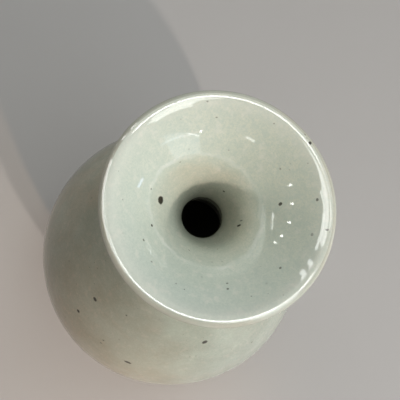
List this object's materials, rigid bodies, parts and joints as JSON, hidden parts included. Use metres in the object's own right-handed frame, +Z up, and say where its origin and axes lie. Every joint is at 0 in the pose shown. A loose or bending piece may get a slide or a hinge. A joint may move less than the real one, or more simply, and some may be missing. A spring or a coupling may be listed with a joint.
{
  "type": "pear-shaped vase",
  "caption": "Wheel-thrown pear-shaped stoneware vase with a narrow neck and a wide trumpet mouth, in a pale celadon glaze with iron specks, on a bare turned foot ring",
  "frame": {"origin": "Centre of the foot ring's resting face, which is also the bottom centre of the bounding box.", "axes": "+Z points up along the pot's turning axis, which is its longest extent. The neck bows 1.9 mm towards -X at the throat. The picture's camera stands on the -Y side, almost straight above the mouth."},
  "size_m": [0.169, 0.169, 0.26],
  "materials": {
    "bare_clay": "fired, unglazed, slightly gritty stoneware",
    "clay_slip": "fired slip, unglazed",
    "celadon_glaze": "glossy pale celadon glaze with iron specks"
  },
  "bodies": {
    "root": {"foot_ring": "bare_clay", "foot_slip": "clay_slip", "lower_body": "bare_clay", "belly_slip": "clay_slip", "upper_body": "bare_clay", "neck_slip": "clay_slip", "neck": "bare_clay", "mouth_dish": "bare_clay", "lip": "bare_clay", "outer_glaze": "celadon_glaze", "inner_glaze": "celadon_glaze", "base_glaze": "celadon_glaze"}
  },
  "joints": []
}
